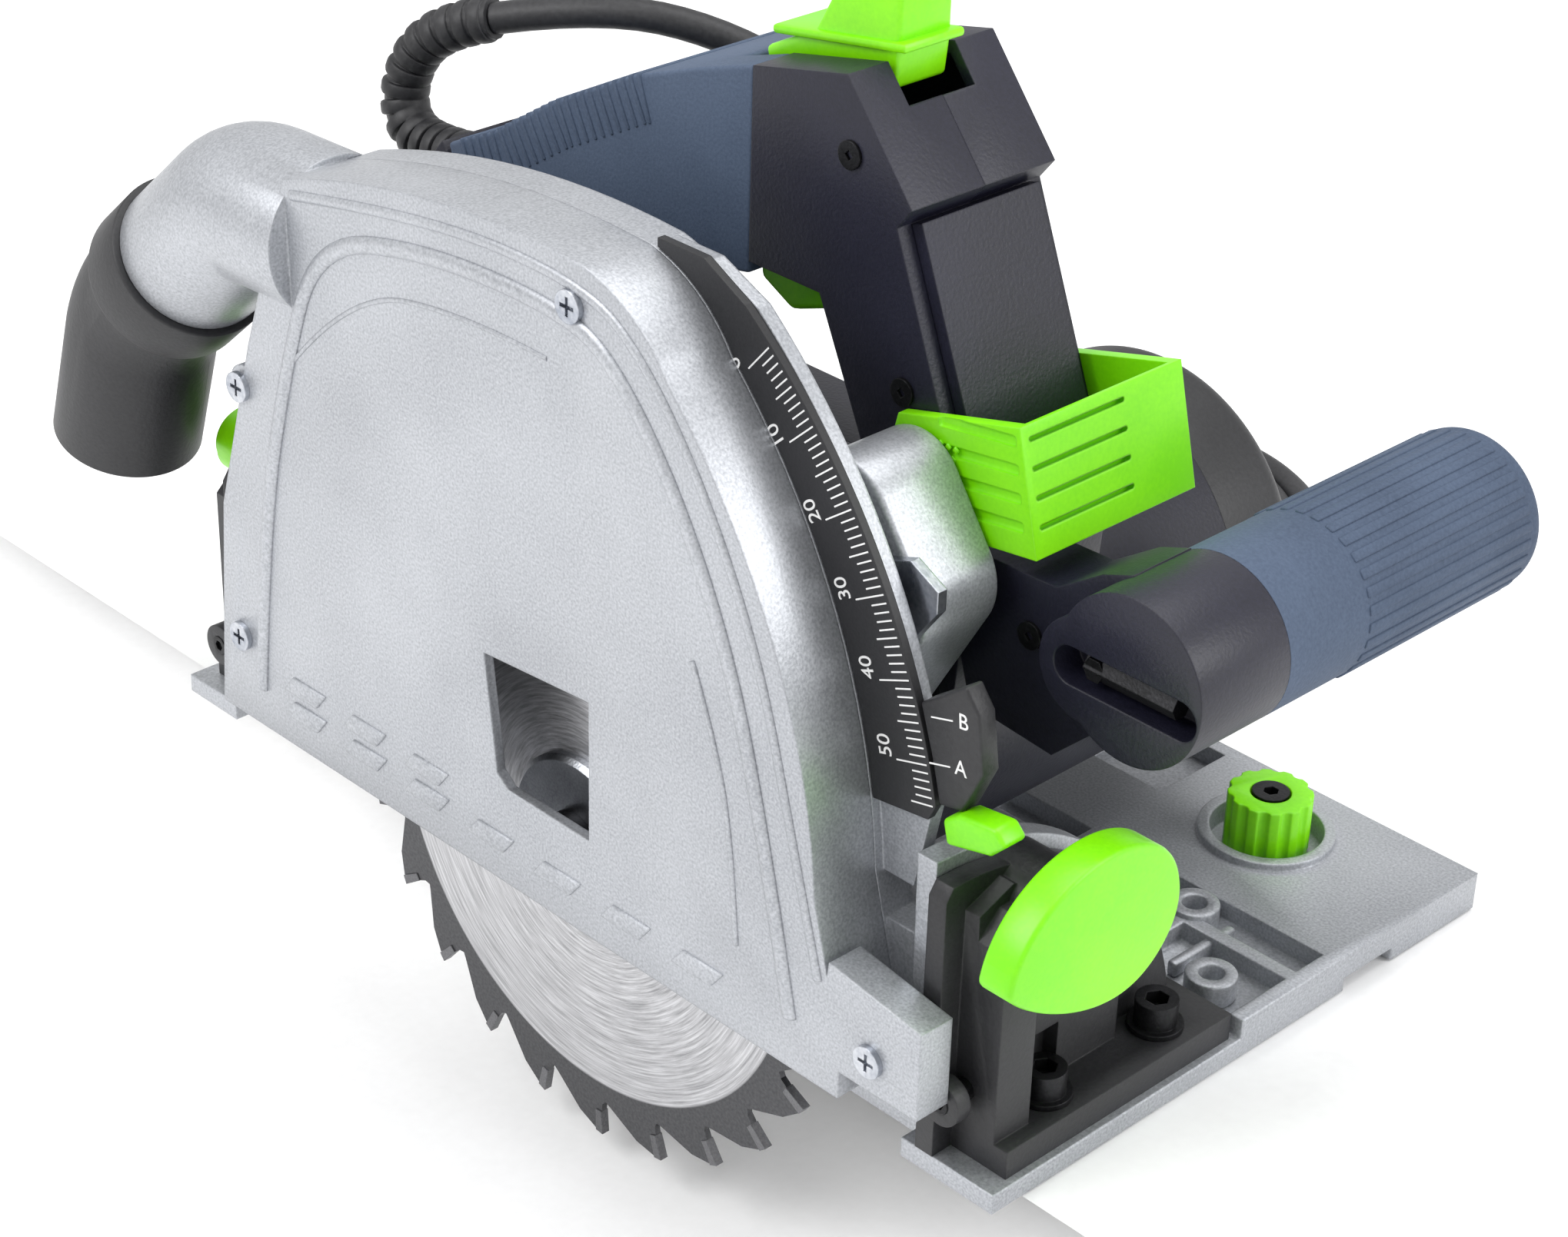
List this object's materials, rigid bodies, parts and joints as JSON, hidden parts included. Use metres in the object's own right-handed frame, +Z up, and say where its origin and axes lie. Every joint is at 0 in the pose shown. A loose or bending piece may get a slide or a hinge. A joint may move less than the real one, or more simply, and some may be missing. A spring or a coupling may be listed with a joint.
{
  "type": "track plunge saw",
  "caption": "Plunge-cut circular saw with a hinged motor unit, tilting blade guard, depth scale, dust elbow, two handles and a cast base for a guide rail.",
  "frame": {"origin": "on the sole plane, in the blade's plane, under the arbor at full plunge depth", "axes": "+X the cutting direction, +Y from the blade to the motor, +Z up from the sole"},
  "size_m": [0.3461, 0.3272, 0.2847],
  "materials": {
    "cast_silver": "satin speckled silver coat",
    "navy_plastic": "fine textured",
    "charcoal_plastic": "matte moulded",
    "scale_black": "satin black",
    "soft_grip": "soft matte",
    "lime_plastic": "satin moulded",
    "blade_steel": "circular brushed",
    "carbide": "ground",
    "black_steel": "black oxide",
    "zinc_steel": "zinc plated",
    "machined_steel": "machined",
    "bronze": "sintered",
    "carbon": "matte",
    "cord_rubber": "matte rubber"
  },
  "bodies": {
    "base": {"base_plate": "cast_silver", "front_bracket": "charcoal_plastic", "rear_bracket": "charcoal_plastic", "bracket_fasteners": "black_steel", "bevel_studs": "black_steel", "stop_set_screws": "black_steel", "rail_knob_screws": "black_steel"},
    "rail_knob_front": {"rail_knob_front": "lime_plastic"},
    "rail_knob_rear": {"rail_knob_rear": "lime_plastic"},
    "bevel_knob_front": {"bevel_knob_front": "lime_plastic"},
    "bevel_knob_rear": {"bevel_knob_rear": "lime_plastic"},
    "guard": {"guard_cover": "cast_silver", "guard_back": "cast_silver", "cover_screws": "zinc_steel", "depth_scale": "scale_black", "front_segment": "cast_silver", "rear_segment": "cast_silver", "segment_screws": "zinc_steel", "pivot_pin": "zinc_steel", "plunge_spring": "zinc_steel"},
    "dust_elbow": {"dust_elbow": "charcoal_plastic"},
    "depth_stop": {"depth_stop_block": "charcoal_plastic", "depth_clamp": "lime_plastic"},
    "spindle": {"spindle": "machined_steel", "driven_gear": "machined_steel", "outer_flange": "machined_steel", "arbor_bolt": "black_steel", "saw_blade": "blade_steel", "carbide_tips": "carbide"},
    "layshaft": {"layshaft": "machined_steel"},
    "armature": {"armature": "machined_steel", "cooling_fan": "charcoal_plastic"},
    "trigger": {"trigger": "lime_plastic"},
    "plunge_button": {"plunge_button": "lime_plastic"},
    "change_lever": {"change_lever": "lime_plastic"},
    "hex_key": {"hex_key": "black_steel"},
    "motor_unit": {"bearing_plate": "cast_silver", "brush_caps": "charcoal_plastic", "cable_boot": "cord_rubber", "carbon_brushes": "carbon", "cord_coil": "cord_rubber", "front_grip_sleeve": "soft_grip", "front_handle_core": "charcoal_plastic", "gear_bearings": "machined_steel", "gear_housing": "cast_silver", "handle_left": "navy_plastic", "handle_right": "navy_plastic", "handle_screws": "black_steel", "lever_pins": "zinc_steel", "motor_bearings": "machined_steel", "motor_end_cap": "charcoal_plastic", "motor_housing": "navy_plastic", "pillar_cover": "navy_plastic", "pivot_bush": "bronze", "plug": "cord_rubber", "power_cord": "cord_rubber", "rear_grip_sleeve": "soft_grip", "stator": "machined_steel", "stop_plate": "zinc_steel", "switch_body": "charcoal_plastic"}
  },
  "joints": [
    {"name": "bevel_tilt", "type": "hinge", "parent": "base", "child": "guard", "pos_m": [0, 0, 0], "axis": [1, 0, 0], "range_deg": [0, 45]},
    {"name": "plunge", "type": "hinge", "parent": "guard", "child": "motor_unit", "pos_m": [-0.098, 0.024, 0.046], "axis": [0, -1, 0], "range_deg": [0, 32.5]},
    {"name": "blade_spin", "type": "hinge", "parent": "motor_unit", "child": "spindle", "pos_m": [0, 0, 0.0275], "axis": [0, 1, 0], "continuous": true},
    {"name": "layshaft_spin", "type": "hinge", "parent": "motor_unit", "child": "layshaft", "pos_m": [0.02498, 0.025, 0.04522], "axis": [0, 1, 0], "continuous": true},
    {"name": "armature_spin", "type": "hinge", "parent": "motor_unit", "child": "armature", "pos_m": [0.028, 0.09, 0.066], "axis": [0, 1, 0], "continuous": true},
    {"name": "elbow_swivel", "type": "hinge", "parent": "guard", "child": "dust_elbow", "pos_m": [-0.142, -0.002, 0.128], "axis": [-0.7514, 0, -0.6599], "range_deg": [-90, 90]},
    {"name": "depth_stop_slide", "type": "hinge", "parent": "guard", "child": "depth_stop", "pos_m": [-0.05, 0.005, 0.05], "axis": [0, -1, 0], "range_deg": [0, 32]},
    {"name": "trigger_pull", "type": "hinge", "parent": "motor_unit", "child": "trigger", "pos_m": [0.014, 0.062, 0.17], "axis": [0, 1, 0], "range_deg": [0, 7], "stiffness_Nm_per_rad": 0.6, "springref_deg": -17.19},
    {"name": "plunge_release", "type": "slide", "parent": "motor_unit", "child": "plunge_button", "axis": [0.9292, 0, 0.3697], "range_m": [0, 0.005], "stiffness_N_per_m": 250, "springref_m": -0.002},
    {"name": "change_lever_turn", "type": "hinge", "parent": "motor_unit", "child": "change_lever", "pos_m": [0.062, 0.062, 0.14], "axis": [0, -1, 0], "range_deg": [0, 25]},
    {"name": "key_draw", "type": "slide", "parent": "motor_unit", "child": "hex_key", "axis": [0, -1, 0], "range_m": [0, 0.075]},
    {"name": "front_bevel_clamp", "type": "hinge", "parent": "base", "child": "bevel_knob_front", "pos_m": [0.13, 0.02039, 0.06277], "axis": [1, 0, 0], "range_deg": [0, 60]},
    {"name": "rear_bevel_clamp", "type": "hinge", "parent": "base", "child": "bevel_knob_rear", "pos_m": [-0.146, 0.02039, 0.06277], "axis": [1, 0, 0], "range_deg": [-60, 0]},
    {"name": "front_rail_adjust", "type": "hinge", "parent": "base", "child": "rail_knob_front", "pos_m": [0.0885, 0.1425, 0.01], "axis": [0, 0, 1], "range_deg": [-170, 170]},
    {"name": "rear_rail_adjust", "type": "hinge", "parent": "base", "child": "rail_knob_rear", "pos_m": [-0.1, 0.1425, 0.01], "axis": [0, 0, 1], "range_deg": [-170, 170]}
  ],
  "couplings": [
    {"joint": "layshaft_spin", "follows": "blade_spin", "ratio": -2.2667},
    {"joint": "armature_spin", "follows": "blade_spin", "ratio": 5.6667}
  ]
}
